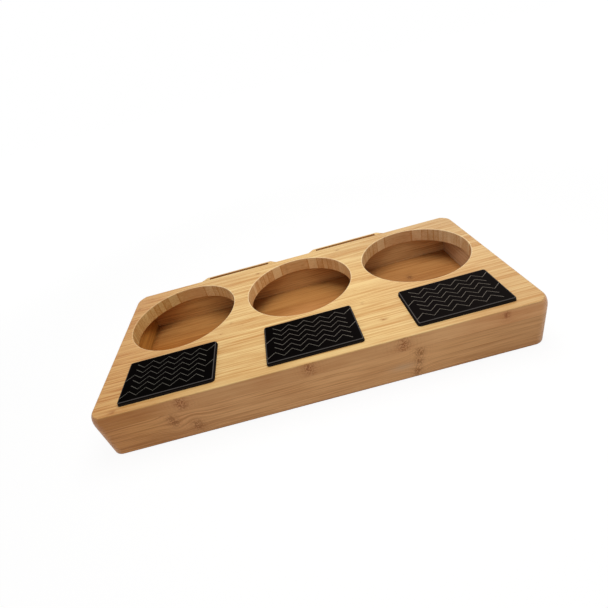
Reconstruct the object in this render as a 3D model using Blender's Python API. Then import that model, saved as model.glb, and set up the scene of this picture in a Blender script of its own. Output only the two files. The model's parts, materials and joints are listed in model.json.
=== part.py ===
"""Bamboo rack for three airpots, with a lift-out drip mat in front of each well.

Units are metres, +Z is up, and the front faces -Y. The origin lies on the counter under the middle
of the rack. Boards are glued, dowelled and screwed, and every glued or fitted joint keeps a small
gap so that neighbouring solids stay apart.
"""

import math

import bmesh
import bpy
from mathutils import Matrix, Vector

# Wells that hold the airpots
WELL_COUNT = 3
WELL_DIAMETER = 0.177
WELL_WEB = 0.0255
WELL_END_MARGIN = 0.0195
WELL_REAR_MARGIN = 0.0155
WELL_STEPS = 96
RIM_STEPS = 2

# Drip mats in front of the wells
MAT_LENGTH = 0.131
MAT_DEPTH = 0.0812
MAT_PROUD = 0.005
MAT_CORNER_RADIUS = 0.004
MAT_EDGE_RADIUS = 0.002
MAT_CLEARANCE = 0.0005
MAT_POCKET_DEPTH = 0.002
MAT_FRONT_MARGIN = 0.0126
MAT_WELL_WEB = 0.0157
MAT_CORNER_STEPS = 5
MAT_EDGE_STEPS = 3

# Zigzag grooves in the mats: bends per row, and how far the rows keep off the mat's edges
GROOVE_ROWS = 6
GROOVE_BENDS = 10
GROOVE_END_MARGIN = 0.01315
GROOVE_SIDE_MARGIN = 0.0137
GROOVE_SWING = 0.010
GROOVE_WIDTH = 0.001
GROOVE_DEPTH = 0.0005

# Boards
TOP_THICKNESS = 0.023
CELL_HEIGHT = 0.041
FLOOR_THICKNESS = 0.010
WALL_THICKNESS = 0.012
END_WALL_THICKNESS = 0.0175
DIVIDER_THICKNESS = 0.012
REBATE_WIDTH = 0.006
HOUSING_DEPTH = 0.002
CORNER_RADIUS = 0.0187
CORNER_STEPS = 8
EDGE_EASE = 0.0012
BOTTOM_EASE = 0.0005

# The top board's soft ends: how far in and how far down they curve, and how fast that fades to
# the plain eased edge round the corners
END_CURVE_REACH = 0.008
END_CURVE_DROP_SHARE = 0.97
END_CURVE_STEPS = 6
END_CURVE_FADE_SHARE = 0.7

# Slotted bars along the rear edge
BAR_LENGTH = 0.146
BAR_SPACING = 0.0664
BAR_RIM = 0.0035
BAR_WEB = 0.005
BAR_SLOPE = 0.011
BAR_SHOULDER = 0.0033
BAR_TIP = 0.0008
BAR_SLOPE_STEPS = 8
SLOT_WIDTH = 0.0055

# Wooden dowels
DOWEL_DIAMETER = 0.006
DOWEL_CHAMFER = 0.0008
DOWEL_STEPS = 16
CORNER_DOWEL_IN_LONG_RAIL = 0.0055
CORNER_DOWEL_IN_END_RAIL = 0.0175
TOP_DOWEL_IN_TOP = 0.013
TOP_DOWEL_IN_RAIL = 0.013
BAR_DOWEL_DIAMETER = 0.004
BAR_DOWEL_IN_BAR = 0.0042
BAR_DOWEL_IN_TOP = 0.0118

# Screws through the bottom board
SCREW_LENGTH = 0.028
SCREW_DIAMETER = 0.0035
SCREW_HEAD_DIAMETER = 0.007
SCREW_HEAD_HEIGHT = 0.0022
SCREW_HEAD_RIM = 0.0004
SCREW_TIP_LENGTH = 0.004
SCREW_RECESS = 0.0005
SCREW_STEPS = 16
CROSS_LENGTH = 0.0038
CROSS_WIDTH = 0.0009
CROSS_DEPTH = 0.0013

# Rubber feet
FOOT_DIAMETER = 0.020
FOOT_HEIGHT = 0.002
FOOT_CHAMFER = 0.0004
FOOT_INSET = 0.030
FOOT_STEPS = 32

# Gaps between neighbours, how far a cutter runs past a face, and when two points are one
GLUE_GAP = 0.0003
FIT_GAP = 0.0003
OVERRUN = 0.002
MERGE_DISTANCE = 0.00003

# Sizes and levels that follow from the ones above
WELL_PITCH = WELL_DIAMETER + WELL_WEB
RACK_LENGTH = (WELL_COUNT - 1) * WELL_PITCH + WELL_DIAMETER + 2 * WELL_END_MARGIN
RACK_DEPTH = MAT_FRONT_MARGIN + MAT_DEPTH + MAT_WELL_WEB + WELL_DIAMETER + WELL_REAR_MARGIN
BAR_DEPTH = SLOT_WIDTH + BAR_RIM
BAR_END = BAR_SLOPE + BAR_SHOULDER
SLOT_LENGTH = BAR_LENGTH - 2 * BAR_END

FRONT_Y = -(RACK_DEPTH + BAR_DEPTH) / 2
REAR_Y = FRONT_Y + RACK_DEPTH
MAT_Y = FRONT_Y + MAT_FRONT_MARGIN + MAT_DEPTH / 2
WELL_Y = REAR_Y - WELL_REAR_MARGIN - WELL_DIAMETER / 2

UNDERSIDE_Z = FOOT_HEIGHT + GLUE_GAP
LAP_Z = UNDERSIDE_Z + FLOOR_THICKNESS / 2
FLOOR_Z = UNDERSIDE_Z + FLOOR_THICKNESS
TOP_UNDERSIDE_Z = FLOOR_Z + CELL_HEIGHT
TOP_Z = TOP_UNDERSIDE_Z + TOP_THICKNESS
RAIL_TOP_Z = TOP_UNDERSIDE_Z - GLUE_GAP
POCKET_Z = TOP_Z - MAT_POCKET_DEPTH
MAT_BASE_Z = POCKET_Z + GLUE_GAP
MAT_HEIGHT = TOP_Z + MAT_PROUD - MAT_BASE_Z

WELL_XS = [(i - (WELL_COUNT - 1) / 2) * WELL_PITCH for i in range(WELL_COUNT)]
DIVIDER_XS = [(a + b) / 2 for a, b in zip(WELL_XS, WELL_XS[1:])]
BAR_X = (BAR_SPACING + BAR_LENGTH) / 2

CORNER_DOWEL_HEIGHT_SHARES = (0.25, 0.75)
TOP_DOWEL_X_SHARES = (-0.89, -0.33, 0.33, 0.89)
SCREW_Y_SHARES = (-0.7, 0.0, 0.7)

SIDES = (("left", -1), ("right", 1))
ENDS = (("front", -1), ("rear", 1))
WELL_NAMES = ("left", "centre", "right")


def material(name, colour, roughness, metallic=0.0):
    """A Principled BSDF material."""
    made = bpy.data.materials.new(name)
    made.use_nodes = True
    shader = made.node_tree.nodes["Principled BSDF"]
    shader.inputs["Base Color"].default_value = (*colour, 1.0)
    shader.inputs["Roughness"].default_value = roughness
    shader.inputs["Metallic"].default_value = metallic
    return made


def to_mesh(shape, name):
    """Turn a bmesh into a mesh with smooth round faces and sharp corners."""
    bmesh.ops.recalc_face_normals(shape, faces=shape.faces)
    mesh = bpy.data.meshes.new(name)
    shape.to_mesh(mesh)
    shape.free()
    mesh.shade_smooth()
    mesh.set_sharp_from_angle(angle=math.radians(30))
    return mesh


def place(name, mesh, finish, location=(0, 0, 0), rotation=(0, 0, 0)):
    """Add one named sub-part to the scene."""
    piece = bpy.data.objects.new(name, mesh)
    if not mesh.materials:
        mesh.materials.append(finish)
    piece.location = location
    piece.rotation_euler = rotation
    piece.parent = rack
    bpy.context.scene.collection.objects.link(piece)
    return piece


def cut(piece, cutters):
    """Take a list of meshes with their places out of a piece, by one exact Boolean."""
    tools = bpy.data.collections.new(piece.name + "_cutters")
    bpy.context.scene.collection.children.link(tools)
    for number, (mesh, location, rotation) in enumerate(cutters):
        tool = bpy.data.objects.new(f"{piece.name}_cutter_{number}", mesh)
        tool.location = location
        tool.rotation_euler = rotation
        tool.hide_render = True
        tool.display_type = "WIRE"
        tools.objects.link(tool)
    boolean = piece.modifiers.new("cuts", "BOOLEAN")
    boolean.operation = "DIFFERENCE"
    boolean.solver = "EXACT"
    boolean.operand_type = "COLLECTION"
    boolean.collection = tools


def prism(outline, low, high):
    """An upright solid with the given outline, from one level to another."""
    shape = bmesh.new()
    base = shape.faces.new([shape.verts.new((x, y, low)) for x, y in outline])
    raised = bmesh.ops.extrude_face_region(shape, geom=[base])["geom"]
    corners = [v for v in raised if isinstance(v, bmesh.types.BMVert)]
    bmesh.ops.translate(shape, verts=corners, vec=(0, 0, high - low))
    return shape


def turned(profile, steps):
    """A solid turned about Z from (radius, height) points that start and end on the axis."""
    shape = bmesh.new()
    points = [shape.verts.new((radius, 0, height)) for radius, height in profile]
    lines = [shape.edges.new(pair) for pair in zip(points, points[1:])]
    bmesh.ops.spin(shape, geom=points + lines, cent=(0, 0, 0), axis=(0, 0, 1),
                   angle=2 * math.pi, steps=steps, use_merge=True)
    bmesh.ops.remove_doubles(shape, verts=shape.verts, dist=MERGE_DISTANCE)
    return shape


def round_edges(shape, chosen, size, steps):
    """Round the edges whose middle passes the test."""
    edges = [e for e in shape.edges if chosen((e.verts[0].co + e.verts[1].co) / 2)]
    bmesh.ops.bevel(shape, geom=edges, offset=size, offset_type="OFFSET", segments=steps,
                    profile=0.5, affect="EDGES", material=-1, clamp_overlap=True)


def rounded_rectangle(length, depth, radius, steps):
    """Outline points of a centred rectangle with round corners."""
    points = []
    for quarter, (sx, sy) in enumerate(((1, 1), (-1, 1), (-1, -1), (1, -1))):
        for step in range(steps + 1):
            angle = (quarter + step / steps) * math.pi / 2
            points.append((sx * (length / 2 - radius) + radius * math.cos(angle),
                           sy * (depth / 2 - radius) + radius * math.sin(angle)))
    return points


def rectangle(left, right, front, rear):
    """Outline points of an upright box's plan."""
    return [(left, front), (right, front), (right, rear), (left, rear)]


def end_profile(start, stop):
    """The rack's right-hand edge as (x, y) points between two distances from the front face."""
    distances = [start, stop]
    for step in range(CORNER_STEPS + 1):
        distance = CORNER_RADIUS * (1 - math.cos(step / CORNER_STEPS * math.pi / 2))
        distances += [d for d in (distance, RACK_DEPTH - distance)
                      if start + MERGE_DISTANCE < d < stop - MERGE_DISTANCE]
    points = []
    for distance in sorted(distances):
        inset = max(0, CORNER_RADIUS - min(distance, RACK_DEPTH - distance))
        drop = CORNER_RADIUS - math.sqrt(CORNER_RADIUS**2 - inset**2)
        points.append((RACK_LENGTH / 2 - drop, FRONT_Y + distance))
    return points


def well_cutter():
    """A round cutter whose upper rim flares out to ease the edge of the well."""
    radius = WELL_DIAMETER / 2
    profile = [(0, -TOP_THICKNESS - OVERRUN), (radius, -TOP_THICKNESS - OVERRUN)]
    for step in range(RIM_STEPS + 1):
        angle = step / RIM_STEPS * math.pi / 2
        profile.append((radius + EDGE_EASE * (1 - math.cos(angle)),
                        EDGE_EASE * (math.sin(angle) - 1)))
    profile += [(radius + EDGE_EASE, OVERRUN), (0, OVERRUN)]
    return to_mesh(turned(profile, WELL_STEPS), "well_cutter")


def bore_cutter(name, diameter, depth):
    """A blind bore with fitting room, centred on its own mouth and running both ways along Z."""
    radius = diameter / 2 + FIT_GAP
    reach = depth + FIT_GAP
    profile = [(0, -reach), (radius, -reach), (radius, OVERRUN), (0, OVERRUN)]
    return to_mesh(turned(profile, DOWEL_STEPS), name)


def soft_blank():
    """The top board before it is cut: ends that curve over softly, front and rear just eased."""
    outline = rounded_rectangle(RACK_LENGTH, RACK_DEPTH, CORNER_RADIUS, CORNER_STEPS)
    shape = prism(outline, TOP_UNDERSIDE_Z, TOP_Z)
    uprights = [e for e in shape.edges if e.verts[0].co.z != e.verts[1].co.z]
    bmesh.ops.subdivide_edges(shape, edges=uprights, cuts=END_CURVE_STEPS)
    straight = (RACK_LENGTH / 2 - CORNER_RADIUS, RACK_DEPTH / 2 - CORNER_RADIUS)
    for vertex in shape.verts:
        height_share = (vertex.co.z - TOP_UNDERSIDE_Z) / TOP_THICKNESS
        level = round(height_share * (END_CURVE_STEPS + 1))
        spot = vertex.co.xy
        centre = Vector([max(-limit, min(limit, along)) for limit, along in zip(straight, spot)])
        outward = (spot - centre) / CORNER_RADIUS
        fade = abs(outward.x) ** END_CURVE_FADE_SHARE
        reach = EDGE_EASE + fade * (END_CURVE_REACH - EDGE_EASE)
        drop = EDGE_EASE + fade * (END_CURVE_DROP_SHARE * TOP_THICKNESS - EDGE_EASE)
        angle = (level - 1) / END_CURVE_STEPS * math.pi / 2
        if level > 0:
            vertex.co.xy = spot - outward * reach * (1 - math.cos(angle))
            vertex.co.z = TOP_Z - drop * (1 - math.sin(angle))
    return shape


def make_top_board():
    """The panel with three wells, three mat pockets and the dowel bores."""
    shape = soft_blank()
    bmesh.ops.translate(shape, verts=shape.verts, vec=(0, (FRONT_Y + REAR_Y) / 2, 0))
    board = place("top_board", to_mesh(shape, "top_board"), bamboo_top)

    well = well_cutter()
    pocket = to_mesh(prism(rounded_rectangle(MAT_LENGTH + 2 * MAT_CLEARANCE,
                                             MAT_DEPTH + 2 * MAT_CLEARANCE,
                                             MAT_CORNER_RADIUS + MAT_CLEARANCE,
                                             MAT_CORNER_STEPS),
                           0, MAT_POCKET_DEPTH + OVERRUN), "pocket_cutter")
    cutters = []
    for x in WELL_XS:
        cutters.append((well, (x, WELL_Y, TOP_Z), (0, 0, 0)))
        cutters.append((pocket, (x, MAT_Y, POCKET_Z), (0, 0, 0)))
    upward = bore_cutter("top_bore", DOWEL_DIAMETER, TOP_DOWEL_IN_TOP)
    for _, x, y in top_dowel_places():
        cutters.append((upward, (x, y, TOP_UNDERSIDE_Z), (math.pi, 0, 0)))
    inward = bore_cutter("bar_bore_in_top", BAR_DOWEL_DIAMETER, BAR_DOWEL_IN_TOP)
    for _, x in bar_dowel_places():
        cutters.append((inward, (x, REAR_Y, bar_dowel_level()), (-math.pi / 2, 0, 0)))
    cut(board, cutters)


def top_dowel_places():
    """Name, x and y of each dowel between a long rail and the top board."""
    places = []
    for end, sign in ENDS:
        y = (FRONT_Y + REAR_Y) / 2 + sign * (RACK_DEPTH - WALL_THICKNESS) / 2
        for number, share in enumerate(TOP_DOWEL_X_SHARES, 1):
            places.append((f"top_dowel_{end}_{number}", share * RACK_LENGTH / 2, y))
    return places


def bar_dowel_places():
    """Name and x of each dowel between a rear bar and the top board."""
    offset = BAR_LENGTH / 2 - BAR_SLOPE
    return [(f"bar_dowel_{side}_{where}", sign * (BAR_X + way * offset))
            for side, sign in SIDES for where, way in (("inner", -1), ("outer", 1))]


def bar_dowel_level():
    """Height of the bar dowels: halfway up the bar."""
    return TOP_Z - TOP_THICKNESS / 2


def corner_dowel_places():
    """Name, x, the long rail's inner face and level of each corner dowel, and its end's sign."""
    places = []
    for end, end_sign in ENDS:
        joint_y = (FRONT_Y + REAR_Y) / 2 + end_sign * (RACK_DEPTH / 2 - WALL_THICKNESS)
        for side, side_sign in SIDES:
            x = side_sign * (RACK_LENGTH / 2 - END_WALL_THICKNESS + WALL_THICKNESS / 2)
            for name, share in zip(("low", "high"), CORNER_DOWEL_HEIGHT_SHARES):
                level = FLOOR_Z + share * (RAIL_TOP_Z - FLOOR_Z)
                places.append((f"corner_dowel_{end}_{side}_{name}", x, joint_y, level, end_sign))
    return places


def ease_bottom(shape, outside):
    """Ease the outer bottom edges of a rail."""
    round_edges(shape, lambda spot: spot.z < UNDERSIDE_Z + MERGE_DISTANCE and outside(spot),
                BOTTOM_EASE, 1)


def make_long_rails():
    """Front and rear rails: full length, round at both ends, rebated for the bottom board."""
    reach_x = floor_length() / 2 + GLUE_GAP
    reach_y = floor_depth() / 2 + GLUE_GAP
    rebate = to_mesh(prism(rectangle(-reach_x, reach_x, -reach_y, reach_y),
                           UNDERSIDE_Z - OVERRUN, LAP_Z + GLUE_GAP), "rebate_cutter")
    middle = (FRONT_Y + REAR_Y) / 2
    right = end_profile(0, WALL_THICKNESS)
    outline = [(-x, y) for x, y in reversed(right)] + right
    upright = bore_cutter("rail_top_bore", DOWEL_DIAMETER, TOP_DOWEL_IN_RAIL)
    sideways = bore_cutter("rail_corner_bore", DOWEL_DIAMETER, CORNER_DOWEL_IN_LONG_RAIL)
    for end, sign in ENDS:
        shape = prism([(x, middle - sign * (y - middle)) for x, y in outline],
                      UNDERSIDE_Z, RAIL_TOP_Z)
        inner = sign * (RACK_DEPTH / 2 - WALL_THICKNESS)
        ease_bottom(shape, lambda spot: sign * (spot.y - middle - inner) > MERGE_DISTANCE)
        rail = place(f"{end}_rail", to_mesh(shape, f"{end}_rail"), bamboo_side)
        cutters = [(rebate, (0, middle, 0), (0, 0, 0))]
        for name, x, y in top_dowel_places():
            if end in name:
                cutters.append((upright, (x, y, RAIL_TOP_Z), (0, 0, 0)))
        for name, x, y, level, end_sign in corner_dowel_places():
            if end_sign == sign:
                cutters.append((sideways, (x, y, level), (end_sign * math.pi / 2, 0, 0)))
        cut(rail, cutters)


def make_end_rails():
    """Left and right rails, between the long rails, rebated along their whole length."""
    start = WALL_THICKNESS + GLUE_GAP
    edge = end_profile(start, RACK_DEPTH - start)
    inner = RACK_LENGTH / 2 - END_WALL_THICKNESS
    outline = edge + [(inner, edge[-1][1]), (inner, edge[0][1])]
    rebate_x = floor_length() / 2 + GLUE_GAP
    rebate = to_mesh(prism(rectangle(inner - OVERRUN, rebate_x, FRONT_Y, REAR_Y),
                           UNDERSIDE_Z - OVERRUN, LAP_Z + GLUE_GAP), "end_rebate_cutter")
    bore = bore_cutter("end_corner_bore", DOWEL_DIAMETER, CORNER_DOWEL_IN_END_RAIL)
    for side, sign in SIDES:
        turn = 0 if sign > 0 else math.pi
        middle = (FRONT_Y + REAR_Y) / 2
        shape = prism(outline, UNDERSIDE_Z, RAIL_TOP_Z)
        ease_bottom(shape, lambda spot: spot.x > (inner + RACK_LENGTH / 2) / 2)
        bmesh.ops.rotate(shape, verts=shape.verts, cent=(0, middle, 0),
                         matrix=Matrix.Rotation(turn, 3, "Z"))
        rail = place(f"end_rail_{side}", to_mesh(shape, f"end_rail_{side}"), bamboo_side)
        cutters = [(rebate, (0, middle - math.cos(turn) * middle, 0), (0, 0, turn))]
        for name, x, y, level, end_sign in corner_dowel_places():
            if side in name:
                mouth = y - end_sign * GLUE_GAP
                cutters.append((bore, (x, mouth, level), (-end_sign * math.pi / 2, 0, 0)))
        cut(rail, cutters)


def floor_length():
    """Length of the bottom board, which reaches into the end rails' rebates."""
    return RACK_LENGTH - 2 * (END_WALL_THICKNESS - REBATE_WIDTH) - 2 * GLUE_GAP


def floor_depth():
    """Depth of the bottom board, which reaches into the long rails' rebates."""
    return RACK_DEPTH - 2 * (WALL_THICKNESS - REBATE_WIDTH) - 2 * GLUE_GAP


def divider_reach():
    """Half the length of a divider, from the middle of the rack towards a long rail."""
    return RACK_DEPTH / 2 - WALL_THICKNESS - GLUE_GAP


def screw_places():
    """Name, x and y of each screw, three along each divider."""
    middle = (FRONT_Y + REAR_Y) / 2
    return [(f"bottom_screw_{side}_{number}", x, middle + share * divider_reach())
            for (side, _), x in zip(SIDES, DIVIDER_XS)
            for number, share in enumerate(SCREW_Y_SHARES, 1)]


def make_bottom_board():
    """The floor that the airpots stand on: its edges are half lapped under the rails, its top is
    grooved for the dividers, and it is countersunk from below for its screws."""
    middle = (FRONT_Y + REAR_Y) / 2
    reach_x = floor_length() / 2
    reach_y = floor_depth() / 2
    shape = prism(rectangle(-reach_x, reach_x, middle - reach_y, middle + reach_y),
                  UNDERSIDE_Z, LAP_Z)
    upper = [f for f in shape.faces if f.calc_center_median().z > LAP_Z - MERGE_DISTANCE]
    bmesh.ops.inset_region(shape, faces=upper, thickness=REBATE_WIDTH, use_even_offset=True)
    raised = bmesh.ops.extrude_face_region(shape, geom=upper)["geom"]
    bmesh.ops.delete(shape, geom=upper, context="FACES_ONLY")
    corners = [v for v in raised if isinstance(v, bmesh.types.BMVert)]
    bmesh.ops.translate(shape, verts=corners, vec=(0, 0, FLOOR_Z - LAP_Z))
    board = place("bottom_board", to_mesh(shape, "bottom_board"), bamboo_inner)

    half = DIVIDER_THICKNESS / 2 + GLUE_GAP
    groove = to_mesh(prism(rectangle(-half, half, -reach_y, reach_y), -HOUSING_DEPTH, OVERRUN),
                     "housing_cutter")
    head = SCREW_HEAD_DIAMETER / 2 + FIT_GAP
    shank = SCREW_DIAMETER / 2 + FIT_GAP
    sink = SCREW_RECESS + SCREW_HEAD_RIM + FIT_GAP
    profile = [(0, -OVERRUN), (head, -OVERRUN), (head, sink),
               (shank, sink + SCREW_HEAD_HEIGHT - SCREW_HEAD_RIM),
               (shank, FLOOR_THICKNESS + OVERRUN), (0, FLOOR_THICKNESS + OVERRUN)]
    hole = to_mesh(turned(profile, SCREW_STEPS), "screw_hole_cutter")
    cut(board, [(groove, (x, middle, FLOOR_Z), (0, 0, 0)) for x in DIVIDER_XS]
        + [(hole, (x, y, UNDERSIDE_Z), (0, 0, 0)) for _, x, y in screw_places()])


def make_dividers():
    """Two boards on edge in the bottom board's grooves, with pilot holes for the screws."""
    base = FLOOR_Z - HOUSING_DEPTH + GLUE_GAP
    pilot_depth = UNDERSIDE_Z + SCREW_RECESS + SCREW_LENGTH - base
    pilot = bore_cutter("pilot_cutter", SCREW_DIAMETER, pilot_depth)
    reach = divider_reach()
    half = DIVIDER_THICKNESS / 2
    middle = (FRONT_Y + REAR_Y) / 2
    for (side, _), x in zip(SIDES, DIVIDER_XS):
        shape = prism(rectangle(x - half, x + half, middle - reach, middle + reach),
                      base, RAIL_TOP_Z)
        divider = place(f"divider_{side}", to_mesh(shape, f"divider_{side}"), bamboo_inner)
        cut(divider, [(pilot, (screw_x, y, base), (math.pi, 0, 0))
                      for name, screw_x, y in screw_places() if side in name])


def groove_line(row):
    """Centre line of one zigzag groove, on the mat's own axes; row 0 lies at the front."""
    half_wave = (MAT_LENGTH - 2 * GROOVE_END_MARGIN) / (GROOVE_BENDS - 1)
    row_pitch = (MAT_DEPTH - 2 * GROOVE_SIDE_MARGIN) / (GROOVE_ROWS - 1)
    y = (row - (GROOVE_ROWS - 1) / 2) * row_pitch
    points = []
    for bend in range(GROOVE_BENDS):
        x = GROOVE_END_MARGIN - MAT_LENGTH / 2 + bend * half_wave
        points.append(Vector((x, y + GROOVE_SWING / 2 * (-1) ** bend)))
    run_out = Vector((half_wave, GROOVE_SWING)) * ((GROOVE_END_MARGIN - MAT_EDGE_RADIUS) / half_wave)
    if row % 3 == 0:
        points.insert(0, points[0] - run_out)
    if row % 3 == 2:
        points.append(points[-1] + run_out)
    return points


def ribbon(line, width):
    """Outline of a flat ribbon along a line, with mitred bends and square ends."""
    left, right = [], []
    for i, point in enumerate(line):
        before = (point - line[i - 1]).normalized() if i > 0 else None
        after = (line[i + 1] - point).normalized() if i < len(line) - 1 else None
        along = ((before or after) + (after or before)).normalized()
        across = Vector((-along.y, along.x))
        reach = width / 2 / along.dot(after or before)
        left.append(point + across * reach)
        right.append(point - across * reach)
    return [tuple(p) for p in left + right[::-1]]


def make_mats():
    """Three loose black mats that lift out of their pockets, each with its zigzag grooves."""
    shape = prism(rounded_rectangle(MAT_LENGTH, MAT_DEPTH, MAT_CORNER_RADIUS, MAT_CORNER_STEPS),
                  0, MAT_HEIGHT)
    round_edges(shape, lambda spot: spot.z > MAT_HEIGHT - MERGE_DISTANCE,
                MAT_EDGE_RADIUS, MAT_EDGE_STEPS)
    mesh = to_mesh(shape, "drip_mat")
    grooves = [to_mesh(prism(ribbon(groove_line(row), GROOVE_WIDTH),
                             MAT_HEIGHT - GROOVE_DEPTH, MAT_HEIGHT + OVERRUN), "groove_cutter")
               for row in range(GROOVE_ROWS)]
    for name, x in zip(WELL_NAMES, WELL_XS):
        spot = (x, MAT_Y, MAT_BASE_Z)
        mat = place(f"drip_mat_{name}", mesh, mat_rubber, spot)
        cut(mat, [(groove, spot, (0, 0, 0)) for groove in grooves])


def bar_outline():
    """Plan of a rear bar: flat against the rack, with smoothly swept ends."""
    right = []
    for step in range(BAR_SLOPE_STEPS + 1):
        share = step / BAR_SLOPE_STEPS
        swell = (1 - math.cos(share * math.pi)) / 2
        right.append((BAR_LENGTH / 2 - share * BAR_SLOPE,
                      BAR_TIP + (BAR_DEPTH - BAR_TIP) * swell))
    left = [(-x, y) for x, y in reversed(right)]
    return [(BAR_LENGTH / 2, GLUE_GAP)] + right + left + [(-BAR_LENGTH / 2, GLUE_GAP)]


def make_sign_bars():
    """Two bars glued to the rear edge, hollowed to leave a slot against the rack."""
    mesh = to_mesh(prism(bar_outline(), -TOP_THICKNESS, 0), "sign_bar")
    half = SLOT_LENGTH / 2
    slot = to_mesh(prism(rectangle(-half, half, -OVERRUN, SLOT_WIDTH),
                         BAR_WEB - TOP_THICKNESS, OVERRUN), "slot_cutter")
    bore = bore_cutter("bar_bore", BAR_DOWEL_DIAMETER, BAR_DOWEL_IN_BAR)
    for side, sign in SIDES:
        spot = (sign * BAR_X, REAR_Y, TOP_Z)
        bar = place(f"sign_bar_{side}", mesh, bamboo_top, spot)
        cutters = [(slot, spot, (0, 0, 0))]
        for name, x in bar_dowel_places():
            if side in name:
                mouth = (x, REAR_Y + GLUE_GAP, bar_dowel_level())
                cutters.append((bore, mouth, (math.pi / 2, 0, 0)))
        cut(bar, cutters)


def dowel(name, diameter, length):
    """A wooden dowel with chamfered ends, centred on its own middle."""
    radius = diameter / 2
    half = length / 2
    profile = [(0, -half), (radius - DOWEL_CHAMFER, -half), (radius, DOWEL_CHAMFER - half),
               (radius, half - DOWEL_CHAMFER), (radius - DOWEL_CHAMFER, half), (0, half)]
    return to_mesh(turned(profile, DOWEL_STEPS), name)


def make_dowels():
    """Every dowel, each lying across its joint with half the fitting room at either end."""
    upright = dowel("top_dowel", DOWEL_DIAMETER, TOP_DOWEL_IN_TOP + TOP_DOWEL_IN_RAIL)
    centre = TOP_UNDERSIDE_Z + (TOP_DOWEL_IN_TOP - TOP_DOWEL_IN_RAIL - GLUE_GAP) / 2
    for name, x, y in top_dowel_places():
        place(name, upright, dowel_wood, (x, y, centre))

    lying = (math.pi / 2, 0, 0)
    corner = dowel("corner_dowel", DOWEL_DIAMETER,
                   CORNER_DOWEL_IN_LONG_RAIL + CORNER_DOWEL_IN_END_RAIL)
    shift = (CORNER_DOWEL_IN_END_RAIL - CORNER_DOWEL_IN_LONG_RAIL + GLUE_GAP) / 2
    for name, x, y, level, end_sign in corner_dowel_places():
        place(name, corner, dowel_wood, (x, y - end_sign * shift, level), lying)

    small = dowel("bar_dowel", BAR_DOWEL_DIAMETER, BAR_DOWEL_IN_BAR + BAR_DOWEL_IN_TOP)
    centre = REAR_Y + (BAR_DOWEL_IN_BAR - BAR_DOWEL_IN_TOP + GLUE_GAP) / 2
    for name, x in bar_dowel_places():
        place(name, small, dowel_wood, (x, centre, bar_dowel_level()), lying)


def make_screws():
    """Countersunk screws that point up, each with a cross recess in its head."""
    shank = SCREW_DIAMETER / 2
    head = SCREW_HEAD_DIAMETER / 2
    profile = [(0, 0), (head, 0), (head, SCREW_HEAD_RIM), (shank, SCREW_HEAD_HEIGHT),
               (shank, SCREW_LENGTH - SCREW_TIP_LENGTH), (0, SCREW_LENGTH)]
    mesh = to_mesh(turned(profile, SCREW_STEPS), "bottom_screw")
    arm = CROSS_LENGTH / 2
    half = CROSS_WIDTH / 2
    cross = to_mesh(prism(((arm, -half), (arm, half), (half, half), (half, arm), (-half, arm),
                           (-half, half), (-arm, half), (-arm, -half), (-half, -half),
                           (-half, -arm), (half, -arm), (half, -half)),
                          -OVERRUN, CROSS_DEPTH), "cross_cutter")
    for name, x, y in screw_places():
        spot = (x, y, UNDERSIDE_Z + SCREW_RECESS)
        screw = place(name, mesh, screw_steel, spot)
        cut(screw, [(cross, spot, (0, 0, 0))])


def make_feet():
    """Six stick-on feet under the bottom board."""
    radius = FOOT_DIAMETER / 2
    profile = [(0, 0), (radius - FOOT_CHAMFER, 0), (radius, FOOT_CHAMFER),
               (radius, FOOT_HEIGHT), (0, FOOT_HEIGHT)]
    mesh = to_mesh(turned(profile, FOOT_STEPS), "foot")
    middle = (FRONT_Y + REAR_Y) / 2
    for end, end_sign in ENDS:
        y = middle + end_sign * (RACK_DEPTH / 2 - FOOT_INSET)
        for name, way in zip(WELL_NAMES, (-1, 0, 1)):
            x = way * (RACK_LENGTH / 2 - FOOT_INSET)
            place(f"foot_{end}_{name}", mesh, foot_rubber, (x, y, 0))


for old in list(bpy.data.objects):
    bpy.data.objects.remove(old, do_unlink=True)

bamboo_top = material("bamboo_top", (0.62, 0.40, 0.18), 0.45)
bamboo_side = material("bamboo_side", (0.42, 0.24, 0.11), 0.5)
bamboo_inner = material("bamboo_inner", (0.45, 0.22, 0.09), 0.55)
mat_rubber = material("mat_rubber", (0.012, 0.011, 0.011), 0.45)
foot_rubber = material("foot_rubber", (0.02, 0.02, 0.02), 0.8)
dowel_wood = material("dowel_wood", (0.58, 0.42, 0.26), 0.7)
screw_steel = material("screw_steel", (0.55, 0.55, 0.56), 0.35, 1.0)

rack = bpy.data.objects.new("rack", None)
bpy.context.scene.collection.objects.link(rack)

make_top_board()
make_long_rails()
make_end_rails()
make_bottom_board()
make_dividers()
make_mats()
make_sign_bars()
make_dowels()
make_screws()
make_feet()
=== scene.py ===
"""Looks of a bamboo airpot rack: boards, drip mats, rear bars and hardware, and the setting."""
import json
import math

import bmesh
import bpy
from mathutils import Matrix, Vector


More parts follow.
